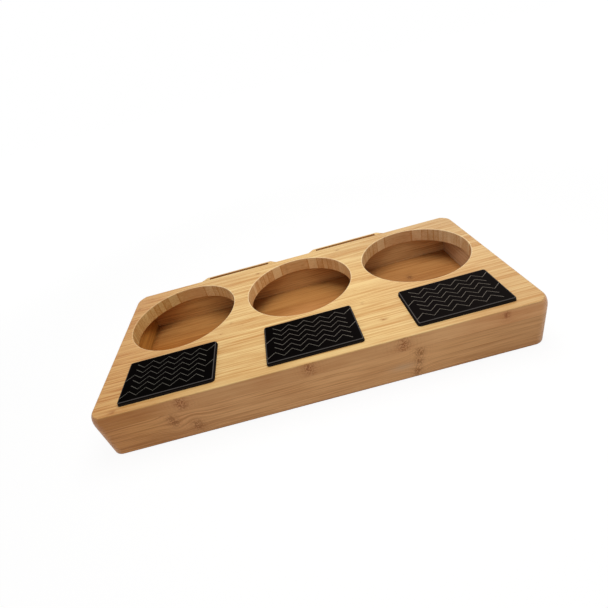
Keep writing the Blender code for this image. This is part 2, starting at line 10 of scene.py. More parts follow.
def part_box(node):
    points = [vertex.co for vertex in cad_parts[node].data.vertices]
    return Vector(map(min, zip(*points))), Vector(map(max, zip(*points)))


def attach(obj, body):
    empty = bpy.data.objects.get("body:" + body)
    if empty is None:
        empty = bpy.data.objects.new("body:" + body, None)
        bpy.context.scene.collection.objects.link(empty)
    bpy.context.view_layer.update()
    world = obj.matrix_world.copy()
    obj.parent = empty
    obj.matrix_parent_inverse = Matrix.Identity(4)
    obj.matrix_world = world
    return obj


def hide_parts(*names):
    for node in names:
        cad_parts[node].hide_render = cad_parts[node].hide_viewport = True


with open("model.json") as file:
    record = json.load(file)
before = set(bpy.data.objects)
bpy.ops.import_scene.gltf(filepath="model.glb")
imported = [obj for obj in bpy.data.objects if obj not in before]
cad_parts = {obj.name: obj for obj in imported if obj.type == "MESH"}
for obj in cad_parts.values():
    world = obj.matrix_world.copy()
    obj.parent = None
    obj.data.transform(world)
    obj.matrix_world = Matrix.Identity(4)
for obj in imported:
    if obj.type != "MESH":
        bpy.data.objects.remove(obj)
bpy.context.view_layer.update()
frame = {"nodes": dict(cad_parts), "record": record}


# Top board
# A glued panel of bamboo strips set on edge, 23 mm thick. Three round wells are routed through
# it, three shallow pockets take the drip mats, its ends curve over softly, and it is oiled.

WELL_DIAMETER = 0.177
WELL_STEPS = 192
EDGE_EASE = 0.0012
EASE_STEPS = 5
CORNER_RADIUS = 0.0187
CORNER_STEPS = 24
END_CURVE_REACH = 0.008
END_CURVE_DROP = 0.0223
END_CURVE_STEPS = 14
END_CURVE_FADE = 0.7
POCKET_DEPTH = 0.002
POCKET_ROOM = 0.0005
MAT_CORNER_RADIUS = 0.004
MAT_CORNER_STEPS = 10
BORE_ROOM = 0.0002
BORE_STEPS = 24
OVERRUN = 0.002
WELD = 0.00001
SHARP_ANGLE = math.radians(35)

top_low, top_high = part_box("top_board")
mat_boxes = {side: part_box(f"drip_mat_{side}") for side in ("left", "centre", "right")}
well_centres = [mount["pos_m"] for mount in frame["record"]["mounts"]
                if mount["name"].startswith("airpot_seat")]


class Wire:
    """A shader socket. Arithmetic adds Math nodes, and node() adds any other kind."""

    def __init__(self, tree, socket=None):
        self.tree = tree
        self.socket = socket

    def node(self, kind, settings, sockets, output=0):
        made = self.tree.nodes.new(kind)
        for name, value in settings.items():
            setattr(made, name, value)
        for name, value in sockets.items():
            if isinstance(value, Wire):
                self.tree.links.new(value.socket, made.inputs[name])
            else:
                made.inputs[name].default_value = value
        return Wire(self.tree, made.outputs[output])

    def other(self, output):
        return Wire(self.tree, self.socket.node.outputs[output])

    def math(self, operation, *values):
        return self.node("ShaderNodeMath", {"operation": operation}, dict(enumerate(values)))

    def __add__(self, value):
        return self.math("ADD", self, value)

    def __sub__(self, value):
        return self.math("SUBTRACT", self, value)

    def __rsub__(self, value):
        return self.math("SUBTRACT", value, self)

    def __neg__(self):
        return self.math("MULTIPLY", self, -1.0)

    def __mul__(self, value):
        return self.math("MULTIPLY", self, value)

    def __truediv__(self, value):
        return self.math("DIVIDE", self, value)

    def __pow__(self, value):
        return self.math("POWER", self, value)

    def __abs__(self):
        return self.math("ABSOLUTE", self)

    def __lt__(self, value):
        return self.math("LESS_THAN", self, value)

    def __gt__(self, value):
        return self.math("GREATER_THAN", self, value)

    __radd__ = __add__
    __rmul__ = __mul__

    def least(self, value):
        return self.math("MINIMUM", self, value)

    def most(self, value):
        return self.math("MAXIMUM", self, value)

    def exp(self):
        return self.math("EXPONENT", self)

    def part(self):
        """What is left of the value above a whole number."""
        return self.math("FRACT", self)

    def hump(self, width):
        """1 where the value is 0, falling softly to 0 over the width."""
        return (-(self / width) ** 2.0).exp()

    def step(self, low, high):
        """0 below low and 1 above high, with a soft step between."""
        return self.node("ShaderNodeMapRange", {"interpolation_type": "SMOOTHSTEP"},
                         {0: self, 1: low, 2: high})


COAT_ROUGHNESS = 0.3


def start_finish(name, roughness, specular=0.5, coat=0.0, metallic=0.0):
    """A new material: its Principled shader with constant gloss, and its x, y and z places."""
    made = bpy.data.materials.new(name)
    made.use_nodes = True
    shader = made.node_tree.nodes["Principled BSDF"]
    shader.inputs["Roughness"].default_value = roughness
    shader.inputs["Specular IOR Level"].default_value = specular
    shader.inputs["Coat Weight"].default_value = coat
    shader.inputs["Coat Roughness"].default_value = COAT_ROUGHNESS
    shader.inputs["Metallic"].default_value = metallic
    place = Wire(made.node_tree).node("ShaderNodeTexCoord", {}, {}, "Object")
    x = place.node("ShaderNodeSeparateXYZ", {}, {0: place})
    return made, shader, (x, x.other(1), x.other(2))


def feed(shader, name, wire):
    wire.tree.links.new(wire.socket, shader.inputs[name])


def noise(places, sizes, detail=2.0, roughness=0.5):
    """Soft noise whose marks have the given sizes, in metres, along the three places."""
    scaled = [place / size for place, size in zip(places, sizes)]
    vector = scaled[0].node("ShaderNodeCombineXYZ", {}, dict(enumerate(scaled)))
    return vector.node("ShaderNodeTexNoise", {},
                       {"Vector": vector, "Scale": 1.0, "Detail": detail, "Roughness": roughness})


def blend_colours(share, below, above, kind="MIX"):
    """Two colours blended by the share. Each is a wire, or red, green and blue."""
    below, above = [colour if isinstance(colour, Wire) else (*colour, 1.0)
                    for colour in (below, above)]
    return share.node("ShaderNodeMix", {"data_type": "RGBA", "blend_type": kind},
                      {0: share, 6: below, 7: above}, 2)


def tinted(colour, layers):
    """The colour multiplied by each tint in turn, as far as that tint's share goes."""
    for share, tint in layers:
        colour = blend_colours(share, colour, tint, "MULTIPLY")
    return colour


def bump(shader, height, depth):
    """Relief, with the depth in metres for a height of 1."""
    relief = {"Height": height, "Distance": depth, "Strength": 1.0}
    feed(shader, "Normal", height.node("ShaderNodeBump", {}, relief))


KNOT_WOBBLE = (0.004, 0.004, 0.004)
KNOT_WOBBLE_REACH = 1.2
KNOT_FLECKS = (0.0020, 0.0032, 0.0024)
KNOT_FLECK_RANGE = (0.44, 0.53)
KNOT_FLATTENING = 0.45
KNOT_BEND = 0.45
KNOT_BEND_FADE = 0.30
KNOT_RINGS = 1.9
KNOT_RING_WIDTH = 0.17
KNOT_RING_FADE = 0.22
KNOT_RING_SHARE = 0.30
KNOT_CORE_FADE = 1.1
KNOT_CORE_SHARE = 0.16


def knots_in(places, pair, spots, reach):
    """Bend the grain round each knot, and give the knots' own share of dark marks. pair names the
    two directions of the face, and each spot is a place on it and a radius."""
    along, across = (places[axis] for axis in pair)
    face = (along, across, places[3 - sum(pair)])
    bent = across
    marks = None
    wobble = noise(face, KNOT_WOBBLE) - 0.5
    flecks = noise(face, KNOT_FLECKS, detail=3.0, roughness=0.7) + wobble * 0.5
    flecks = flecks.step(*KNOT_FLECK_RANGE)
    for spot_along, spot_across, radius in spots:
        du = (along - spot_along) / radius
        dv = (across - spot_across) / radius
        away = du * du + dv * dv * KNOT_FLATTENING
        bent = bent - (away * -KNOT_BEND_FADE).exp() * dv * (radius * KNOT_BEND)
        ring = (away ** 0.5 * KNOT_RINGS + wobble * KNOT_WOBBLE_REACH).part() - 0.5
        rings = ring.hump(KNOT_RING_WIDTH) * (away * -KNOT_RING_FADE).exp() * KNOT_RING_SHARE
        core = (away * -KNOT_CORE_FADE).exp() * (KNOT_CORE_SHARE + flecks)
        both = rings.most(core)
        marks = both if marks is None else marks.most(both)
    changed = list(places)
    changed[pair[1]] = across + (bent - across) * reach
    return changed, marks * reach


# Towards the left end the grain is stronger, and painted shade browns and darkens the wood where
# the light falls off.
LEFT_END_REACH = (0.12, 0.30)
LEFT_END_GRAIN = 0.6


def toward_left_end(places):
    """0 over most of the rack, rising to 1 at its left end, where the grain is stronger and
    painted shade browns the wood.
    """
    return (-places[0]).step(*LEFT_END_REACH)


OIL_SPECULAR = 0.20
OIL_COAT = 0.03
STRIP_SLIP = 3.0
STRIP_CONTRAST = 0.26
STRIP_TINT = (0.90, 0.80, 0.66)
STRIP_TINT_SHARE = 0.25
SEAM_WIDTH = 0.0005
SEAM_LEAST = 0.15
SEAM_DARKNESS = 0.45
SWAY = (0.14, 0.04, 0.04)
SWAY_REACH = 0.004
FIBRES = (0.070, 0.0009, 0.0009)
FIBRE_DARKNESS = 1.6
FIBRE_RELIEF = 0.00008
FIBRE_GLOSS = 0.25
LINES = (0.200, 0.0021, 0.0021)
LINE_DARKNESS = 2.2
STREAKS = (0.130, 0.0055, 0.0055)
STREAK_DARKNESS = 0.95
DRIFT = (0.090, 0.050, 0.050)
DASHES = (0.018, 0.0012, 0.0012)
DASH_RANGE = (0.66, 0.80)
DASH_DARKNESS = 0.36
CALMING = 0.6
MEAN_DEPTH = 0.40
DEPTH_RANGE = (-0.15, 1.15)
NODE_SPACING = 0.26
NODE_WIDTH = 0.0026
NODE_PICK = (0.0, 0.15)
NODE_DARKNESS = 0.30
NODE_RIPPLE = (0.005, 0.003, 0.003)
NODE_RIPPLE_REACH = 0.006
KNOT_DARKNESS = 0.78


def bamboo(name, axes, strip, colours, phase=0.0, jitter=0.35, node_share=0.3, knots=None,
           accent=None, calm=None, dress=None, gloss=0.42):
    """Strips glued side by side. axes gives the fibre, stacking and remaining direction, as the
    marks' sizes above do, and colours are the pale matrix, the brown fibres and the dark nodes.
    accent adds to the contrast between strips, calm takes from the fine grain, and dress has the
    last word on colour."""
    made, shader, plain = start_finish(name, gloss, specular=OIL_SPECULAR, coat=OIL_COAT)
    places, marks = knots(plain) if knots else (plain, None)
    u, v, w = (places[axis] for axis in axes)
    pale, brown, dark = colours

    cells = {"W": plain[axes[1]] / strip + phase, "Scale": 1.0, "Randomness": jitter}
    cell = u.node("ShaderNodeTexVoronoi", {"voronoi_dimensions": "1D", "feature": "F1"},
                  cells, "Color")
    tone = cell.node("ShaderNodeSeparateColor", {}, {0: cell})
    hue = tone.other(1)
    slip = tone.other(2)
    seam = u.node("ShaderNodeTexVoronoi",
                  {"voronoi_dimensions": "1D", "feature": "DISTANCE_TO_EDGE"}, cells, "Distance")
    seam = seam.hump(SEAM_WIDTH / strip) * (hue + SEAM_LEAST)

    sway = (noise((u, v, w), SWAY) - 0.5) * SWAY_REACH
    along = u + slip * STRIP_SLIP
    v = v + sway
    w = w + sway
    fibre = noise((along, v, w), FIBRES, roughness=0.6)
    line = noise((along, v, w), LINES, roughness=0.6)
    streak = noise((along, v, w), STREAKS)
    drift = noise((along, v, w), DRIFT)
    dash = noise((along, v, w), DASHES, detail=1.0).step(*DASH_RANGE)
    spread = 1.0 if accent is None else 1.0 + accent(plain)
    grain = ((fibre - 0.5) * FIBRE_DARKNESS + (line - 0.5) * LINE_DARKNESS
             + (streak - 0.5) * STREAK_DARKNESS) * (1.0 + toward_left_end(plain) * LEFT_END_GRAIN)
    if calm is not None:
        grain = grain * (1.0 - calm(plain) * CALMING)
    depth = (MEAN_DEPTH + (tone - 0.5) * STRIP_CONTRAST * spread + grain + (drift - 0.5)
             + seam * SEAM_DARKNESS * spread + dash * DASH_DARKNESS)
    colour = blend_colours(depth.step(*DEPTH_RANGE), pale, brown)
    colour = tinted(colour, [(hue * STRIP_TINT_SHARE, STRIP_TINT)])

    ripple = (noise((u, v, w), NODE_RIPPLE) - 0.5) * NODE_RIPPLE_REACH
    turn = (along / NODE_SPACING + hue).part() - 0.5
    ring = (turn * NODE_SPACING + ripple).hump(NODE_WIDTH)
    ring = ring * (slip - 1.0 + node_share).step(*NODE_PICK)
    colour = blend_colours(ring * NODE_DARKNESS, colour, dark)
    if marks is not None:
        colour = blend_colours(marks * KNOT_DARKNESS, colour, dark)
    if dress is not None:
        colour = dress(plain, colour)

    feed(shader, "Base Color", colour)
    feed(shader, "Roughness", gloss - 0.05 + (fibre - 0.5) * FIBRE_GLOSS + (tone - 0.5) * 0.05)
    bump(shader, fibre, FIBRE_RELIEF)
    return made


def finish_piece(shape, name, finish, body, node):
    """Turn a bmesh into a piece at the origin that stands for the given CAD node."""
    bmesh.ops.remove_doubles(shape, verts=shape.verts, dist=WELD)
    bmesh.ops.recalc_face_normals(shape, faces=shape.faces)
    mesh = bpy.data.meshes.new(name)
    shape.to_mesh(mesh)
    shape.free()
    mesh.shade_smooth()
    mesh.set_sharp_from_angle(angle=SHARP_ANGLE)
    piece = bpy.data.objects.new(name, mesh)
    bpy.context.scene.collection.objects.link(piece)
    mesh.materials.append(finish)
    shading = piece.modifiers.new("even_shading", "WEIGHTED_NORMAL")
    shading.keep_sharp = True
    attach(piece, body)
    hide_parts(node)


def block(low, high):
    """A plain box between two corners."""
    shape = bmesh.new()
    bmesh.ops.create_cube(shape, size=1.0)
    size = Vector(high) - Vector(low)
    bmesh.ops.scale(shape, verts=shape.verts, vec=size)
    bmesh.ops.translate(shape, verts=shape.verts, vec=(Vector(low) + Vector(high)) / 2)
    return shape


def round_off(shape, wanted, size, steps):
    """Round the edges that pass the test."""
    bmesh.ops.bevel(shape, geom=[e for e in shape.edges if wanted(e)], offset=size,
                    offset_type="OFFSET", segments=steps, profile=0.5, affect="EDGES",
                    material=-1, clamp_overlap=True)


def upright(edge):
    a, b = (v.co for v in edge.verts)
    return (a.xy - b.xy).length < WELD


def middle(edge):
    return (edge.verts[0].co + edge.verts[1].co) / 2


def turned(profile, steps):
    """A solid turned about Z from (radius, height) points that start and end on the axis."""
    shape = bmesh.new()
    points = [shape.verts.new((radius, 0, height)) for radius, height in profile]
    lines = [shape.edges.new(pair) for pair in zip(points, points[1:])]
    bmesh.ops.spin(shape, geom=points + lines, cent=(0, 0, 0), axis=(0, 0, 1),
                   angle=2 * math.pi, steps=steps, use_merge=True)
    bmesh.ops.remove_doubles(shape, verts=shape.verts, dist=WELD)
    return shape


def moved(shape, offset):
    bmesh.ops.translate(shape, verts=shape.verts, vec=offset)
    return shape


def bore_round(node):
    """A cutter with a little room round a dowel or a screw's shank."""
    low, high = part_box(node)
    size = high - low
    axis = max(range(3), key=lambda i: size[i])
    length = size[axis] + 2 * BORE_ROOM
    radius = min(size) / 2 + BORE_ROOM
    profile = [(0, -length / 2), (radius, -length / 2), (radius, length / 2), (0, length / 2)]
    shape = turned(profile, BORE_STEPS)
    if axis == 1:
        bmesh.ops.rotate(shape, verts=shape.verts, cent=(0, 0, 0),
                         matrix=Matrix.Rotation(math.pi / 2, 3, "X"))
    return moved(shape, (low + high) / 2)


def carve(shape, cutters):
    """The bmesh with every cutter taken out of it by one exact Boolean."""
    tools = bpy.data.collections.new("cutters")
    parts = []
    for solid in [shape] + cutters:
        bmesh.ops.recalc_face_normals(solid, faces=solid.faces)
        mesh = bpy.data.meshes.new("cutter")
        solid.to_mesh(mesh)
        solid.free()
        parts.append(bpy.data.objects.new("cutter", mesh))
    bpy.context.scene.collection.objects.link(parts[0])
    bpy.context.scene.collection.children.link(tools)
    for part in parts[1:]:
        tools.objects.link(part)
    boolean = parts[0].modifiers.new("cuts", "BOOLEAN")
    boolean.operation = "DIFFERENCE"
    boolean.solver = "EXACT"
    boolean.operand_type = "COLLECTION"
    boolean.collection = tools
    bpy.context.view_layer.update()
    result = bmesh.new()
    result.from_object(parts[0], bpy.context.evaluated_depsgraph_get())
    for part in parts:
        mesh = part.data
        bpy.data.objects.remove(part)
        bpy.data.meshes.remove(mesh)
    bpy.data.collections.remove(tools)
    return result


def well_cutter(centre):
    """A round cutter whose rim flares out to ease the edge of the well."""
    radius = WELL_DIAMETER / 2
    profile = [(0, top_low.z - OVERRUN), (radius, top_low.z - OVERRUN)]
    for step in range(EASE_STEPS + 1):
        angle = step / EASE_STEPS * math.pi / 2
        profile.append((radius + EDGE_EASE * (1 - math.cos(angle)),
                        top_high.z - EDGE_EASE * (1 - math.sin(angle))))
    profile += [(radius + EDGE_EASE, top_high.z + OVERRUN), (0, top_high.z + OVERRUN)]
    return moved(turned(profile, WELL_STEPS), (centre[0], centre[1], 0))


def pocket_cutter(mat_low, mat_high):
    """The shallow recess that a mat sits in."""
    room = Vector((POCKET_ROOM, POCKET_ROOM, 0))
    low = mat_low - room
    high = mat_high + room
    low.z = top_high.z - POCKET_DEPTH
    high.z = top_high.z + OVERRUN
    shape = block(low, high)
    round_off(shape, upright, MAT_CORNER_RADIUS + POCKET_ROOM, MAT_CORNER_STEPS)
    return shape


half_x = (top_high.x - top_low.x) / 2
half_y = (top_high.y - top_low.y) / 2
middle_y = (top_high.y + top_low.y) / 2


def soft_board():
    """The board before it is carved. Its ends curve over softly, and round the corners that fades
    to the eased edge of the front and rear."""
    shape = block(top_low, top_high)
    round_off(shape, upright, CORNER_RADIUS, CORNER_STEPS)
    bmesh.ops.subdivide_edges(shape, edges=[e for e in shape.edges if upright(e)],
                              cuts=END_CURVE_STEPS)
    straight = (half_x - CORNER_RADIUS, half_y - CORNER_RADIUS)
    for vertex in shape.verts:
        height_share = (vertex.co.z - top_low.z) / (top_high.z - top_low.z)
        level = round(height_share * (END_CURVE_STEPS + 1))
        spot = vertex.co.xy - Vector((0, middle_y))
        centre = Vector([max(-limit, min(limit, along)) for limit, along in zip(straight, spot)])
        outward = (spot - centre) / CORNER_RADIUS
        fade = abs(outward.x) ** END_CURVE_FADE
        reach = EDGE_EASE + fade * (END_CURVE_REACH - EDGE_EASE)
        drop = EDGE_EASE + fade * (END_CURVE_DROP - EDGE_EASE)
        angle = (level - 1) / END_CURVE_STEPS * math.pi / 2
        if level > 0:
            vertex.co.xy -= outward * reach * (1 - math.cos(angle))
            vertex.co.z = top_high.z - drop * (1 - math.sin(angle))
    return shape


top_cutters = [well_cutter(centre) for centre in well_centres]
top_cutters += [pocket_cutter(*box) for box in mat_boxes.values()]
top_cutters += [bore_round(name) for name in sorted(frame["nodes"])
                if name.startswith(("top_dowel", "bar_dowel"))]
X_Y_Z = (0, 1, 2)
TOP_TONES = ((0.82, 0.580, 0.250), (0.54, 0.252, 0.064), (0.32, 0.110, 0.018))
EDGE_KNOTS = ((-0.1850, 0.0655, 0.0090), (-0.0138, 0.0667, 0.0080), (0.1116, 0.0640, 0.0095),
              (0.2473, 0.0685, 0.0048))
TOP_FLECKS = ((0.1006, -0.1091, 0.0050), (0.0850, 0.1260, 0.0040), (-0.0693, 0.1179, 0.0045),
              (-0.1324, -0.0429, 0.0025), (-0.2745, -0.1495, 0.0050))
FRONT_SKIN = 0.0006
EDGE_SKIN = (0.0004, 0.0016)
WALL_SKIN = (0.0002, 0.0006)
# Painted shade: the brown that darkens the left end where the light falls off.
LEFT_END_SHADE = (0.89, 0.72, 0.59)
FRONT_STRIP = (0.010, 0.013)


def near_front(y):
    """1 on the front face, 0 behind it."""
    return 1.0 - y.step(top_low.y + FRONT_SKIN / 2, top_low.y + FRONT_SKIN)


def front_knots(spots):
    """Knots on the front face of a board."""
    return lambda places: knots_in(places, (0, 2), spots, near_front(places[1]))


def well_edge(places):
    """How far a place lies outside the wall of the nearest well."""
    nearest = None
    for centre in well_centres:
        away = ((places[0] - centre[0]) ** 2.0 + (places[1] - centre[1]) ** 2.0) ** 0.5
        nearest = away if nearest is None else nearest.least(away)
    return nearest - WELL_DIAMETER / 2


def walls(places):
    """1 on the walls of the wells, where the strips' ends show."""
    return 1.0 - well_edge(places).step(*WALL_SKIN)


def outside(places):
    """How far a place lies outside the rack's rounded outline, seen from above."""
    qx = (abs(places[0]) - (half_x - CORNER_RADIUS)).most(0.0)
    qy = (abs(places[1] - middle_y) - (half_y - CORNER_RADIUS)).most(0.0)
    return (qx * qx + qy * qy) ** 0.5 - CORNER_RADIUS


def shade_left_end(places, colour, share=1.0):
    """Painted shade: the left end is browner and darker than the rest, where the light falls off.
    """
    return tinted(colour, [(toward_left_end(places) * share, LEFT_END_SHADE)])


def front_strip(places):
    """1 on the strip in front of the mats, which is one quiet piece of bamboo."""
    return 1.0 - (places[1] - top_low.y).step(*FRONT_STRIP)


WALL_ACCENT = 0.6
FRONT_ACCENT = -0.8
RIGHT_ACCENT = -0.25


def accent_top(places):
    """Stronger strips on the walls of the wells, weaker ones along the front and to the right."""
    right = (places[0] - 0.11).hump(0.06)
    return walls(places) * WALL_ACCENT + front_strip(places) * FRONT_ACCENT + right * RIGHT_ACCENT


FRONT_CALM = 1.1
RIGHT_CALM = 0.35


def calm_top(places):
    """Quieter grain on the walls of the wells and along the front, and a little to the right."""
    right = places[0].step(-0.05, 0.15)
    return walls(places).most(front_strip(places) * FRONT_CALM).most(right * RIGHT_CALM)


TOP_STRIP = 0.0068
OUTER_TINT = (0.98, 0.77, 0.75)
OUTER_LEFT_TINT = (0.88, 0.84, 0.58)
OUTER_RIGHT_TINT = (1.12, 1.12, 1.14)
FLAT_RIGHT_TINT = (0.945, 0.91, 0.97)
FLAT_REAR_RIGHT_TINT = (0.93, 0.94, 0.97)
WALL_TINT = (1.15, 1.11, 1.26)
WALL_LEFT_TINT = (0.82, 0.87, 0.76)
WALL_RIGHT_TINT = (0.93, 0.91, 0.90)
WALL_FAR_RIGHT_TINT = (1.00, 1.14, 1.26)
WALL_BETWEEN_TINT = (1.12, 1.25, 1.32)
FLECK_STREAKS = (0.0050, 0.0011, 0.0011)
FLECK_STREAK_RANGE = (0.42, 0.58)
FLECK_FLATTENING = 3.0
FLECK_LEAST = 0.35
FLECK_BROWN = (0.33, 0.105, 0.012)
RIM_HIGHLIGHT = (0.90, 0.70, 0.42)
RIM_PLACE = EDGE_EASE * 0.6
RIM_HIGHLIGHT_SHARE = 0.6
WALL_LEFT_SHADE_CUT = 0.6


def dress_top(places, colour):
    """Browner outer faces, brown flecks, paler fresh wood on the walls of the wells, and a painted
    highlight along the wells' eased rims. Each tint's steps are places in metres from the rack's
    middle."""
    x, y, z = places
    side = (top_high.z - z).step(*EDGE_SKIN) * (outside(places) > -END_CURVE_REACH - WELD)
    flat = 1.0 - side
    wall = walls(places)
    far_right = x.step(0.06, 0.26)
    colour = tinted(colour, [
        (side, OUTER_TINT),
        (side * (-x).step(0.18, 0.26), OUTER_LEFT_TINT),
        (side * far_right, OUTER_RIGHT_TINT),
        (flat * far_right, FLAT_RIGHT_TINT),
        (flat * y.step(0.0, 0.12) * x.step(0.0, 0.08), FLAT_REAR_RIGHT_TINT),
        (wall, WALL_TINT),
        (wall * (-x).step(0.19, 0.25), WALL_LEFT_TINT),
        (wall * x.step(0.16, 0.22), WALL_RIGHT_TINT),
        (wall * x.step(0.23, 0.27), WALL_FAR_RIGHT_TINT),
        (wall * (abs(x) - 0.127).hump(0.038), WALL_BETWEEN_TINT),
    ])
    streaks = noise(places, FLECK_STREAKS, roughness=0.6).step(*FLECK_STREAK_RANGE)
    for spot_x, spot_y, size in TOP_FLECKS:
        away = ((x - spot_x) / size) ** 2.0 + ((y - spot_y) / size) ** 2.0 * FLECK_FLATTENING
        fleck = (-away).exp() * (FLECK_LEAST + streaks * (1.0 - FLECK_LEAST)) * flat
        colour = blend_colours(fleck, colour, FLECK_BROWN)
    # Painted highlight: a pale line round the eased rim of each well, where the edge catches the
    # light.
    rim = (well_edge(places) - RIM_PLACE).hump(RIM_PLACE)
    rim = rim * z.step(top_high.z - 2 * EDGE_EASE, top_high.z - EDGE_EASE / 2)
    colour = blend_colours(rim * RIM_HIGHLIGHT_SHARE, colour, RIM_HIGHLIGHT)
    # The walls of the wells take less of the left end's painted shade.
    return shade_left_end(places, colour, 1.0 - wall * WALL_LEFT_SHADE_CUT)


top_finish = bamboo("bamboo_top", X_Y_Z, TOP_STRIP, TOP_TONES, knots=front_knots(EDGE_KNOTS),
                    accent=accent_top, calm=calm_top, dress=dress_top)
finish_piece(carve(soft_board(), top_cutters), "top_panel", top_finish, "rack",
             "top_board")


# Rails
# Four bamboo boards on edge, glued under the top board. The long ones run the full length and are
# rounded with the corners; the thicker end ones stand between them.

RAIL_THICKNESS = 0.012
END_THICKNESS = 0.0175
BOTTOM_EASE = 0.0005
BOTTOM_STEPS = 3
GLUE_LINE = 0.00005
LAP_ROOM = 0.0003

floor_low, floor_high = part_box("bottom_board")
lap_z = (floor_low.z + floor_high.z) / 2 + LAP_ROOM
rail_low_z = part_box("front_rail")[0].z
rail_high_z = top_low.z - GLUE_LINE
inner_front = top_low.y + RAIL_THICKNESS
inner_rear = top_high.y - RAIL_THICKNESS
inner_end = top_high.x - END_THICKNESS


def trim(shape, point, outward):
    """Saw a solid off at a plane and close the cut."""
    cut = bmesh.ops.bisect_plane(shape, geom=[*shape.verts, *shape.edges, *shape.faces],
                                 plane_co=point, plane_no=outward, clear_outer=True)["geom_cut"]
    bmesh.ops.edgeloop_fill(shape, edges=[e for e in cut if isinstance(e, bmesh.types.BMEdge)])


def rail(planes):
    """A board sawn out of a rounded block of the rack's full size, at planes given by a point and
    the direction of what goes. It is rebated for the bottom board and bored for its dowels."""
    shape = block((top_low.x, top_low.y, rail_low_z), (top_high.x, top_high.y, rail_high_z))
    round_off(shape, upright, CORNER_RADIUS, CORNER_STEPS)
    round_off(shape, lambda e: middle(e).z < rail_low_z + WELD, BOTTOM_EASE, BOTTOM_STEPS)
    for point, outward in planes:
        trim(shape, point, outward)
    rebate = block((floor_low.x - LAP_ROOM, floor_low.y - LAP_ROOM, rail_low_z - OVERRUN),
                   (floor_high.x + LAP_ROOM, floor_high.y + LAP_ROOM, lap_z))
    bores = []
    low = Vector((min(v.co.x for v in shape.verts), min(v.co.y for v in shape.verts)))
    high = Vector((max(v.co.x for v in shape.verts), max(v.co.y for v in shape.verts)))
    for name in sorted(frame["nodes"]):
        if name.startswith(("top_dowel", "corner_dowel")):
            near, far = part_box(name)
            if far.x > low.x and near.x < high.x and far.y > low.y and near.y < high.y:
                bores.append(bore_round(name))
    return carve(shape, [rebate] + bores)


X_Z_Y = (0, 2, 1)
Y_Z_X = (1, 2, 0)
RAIL_STRIP = 0.0255
RAIL_PHASE = -0.59
RAIL_GLOSS = 0.46
RAIL_TONES = ((0.84, 0.455, 0.190), (0.56, 0.255, 0.085), (0.31, 0.106, 0.018))
RAIL_KNOTS = ((-0.2062, 0.0395, 0.0085), (-0.1790, 0.0200, 0.0085), (0.1318, 0.0450, 0.0075),
              (0.1295, 0.0290, 0.0070), (0.1275, 0.0130, 0.0075))
PALE_STREAK = (0.1080, 0.0260)
PALE_STREAK_SIZE = (0.016, 0.006)
PALE_STREAK_COLOUR = (0.60, 0.40, 0.24)
PALE_STREAK_SHARE = 0.5
INNER_SKIN = (0.0007, 0.0014)
END_SKIN = (0.0006, 0.0001)
BOTTOM_SHADE_REACH = (0.0006, 0.0022)
INNER_TINT = (0.84, 0.89, 0.84)
INNER_LEFT_TINT = (1.10, 1.18, 1.14)
INNER_RIGHT_TINT = (1.06, 1.17, 1.38)
LEFT_END_TINT = (0.80, 0.75, 0.49)
RIGHT_END_TINT = (0.885, 0.925, 1.16)
SKIRT_LEFT_TINT = (0.96, 0.99, 0.86)
SKIRT_RIGHT_TINT = (0.89, 0.86, 0.80)
BOTTOM_SHADE_TINT = (0.62, 0.50, 0.42)


def dress_rail(places, colour):
    """Darker inner faces, a pale streak in front, and painted shade along the bottom edge, where
    the rack meets the floor.
    """
    x, y, z = places
    depth = outside(places) + RAIL_THICKNESS
    outer = depth.step(*INNER_SKIN)
    inner = 1.0 - outer
    at_end = inner * abs(x).step(inner_end - END_SKIN[0], inner_end - END_SKIN[1])
    colour = tinted(colour, [
        (inner, INNER_TINT),
        (inner * (-x).step(0.10, 0.20), INNER_LEFT_TINT),
        (inner * x.step(0.10, 0.20), INNER_RIGHT_TINT),
        (at_end * (x < 0.0), LEFT_END_TINT),
        (at_end * (x > 0.0), RIGHT_END_TINT),
        (outer * (-x).step(0.18, 0.26), SKIRT_LEFT_TINT),
        (outer * x.step(0.12, 0.24), SKIRT_RIGHT_TINT),
    ])
    pale = (x - PALE_STREAK[0]).hump(PALE_STREAK_SIZE[0])
    pale = pale * (z - PALE_STREAK[1]).hump(PALE_STREAK_SIZE[1])
    pale = pale * near_front(y) * PALE_STREAK_SHARE
    colour = blend_colours(pale, colour, PALE_STREAK_COLOUR)
    # Painted shade: a dark line along the bottom edge of the outer faces.
    bottom = outer * (1.0 - (z - rail_low_z).step(*BOTTOM_SHADE_REACH))
    # The rails' left end takes the same painted shade as the top.
    return shade_left_end(places, tinted(colour, [(bottom, BOTTOM_SHADE_TINT)]))


RAIL_LEFT_CALM = -0.5


def calm_rail(places):
    """Below 0 on the left and in the middle, where the grain is stronger."""
    return (-places[0]).step(-0.10, 0.0) * RAIL_LEFT_CALM


def rail_finish(name, axes, knots=None):
    return bamboo(name, axes, RAIL_STRIP, RAIL_TONES, phase=RAIL_PHASE, jitter=0.0, node_share=0.0,
                  knots=knots, calm=calm_rail, dress=dress_rail, gloss=RAIL_GLOSS)


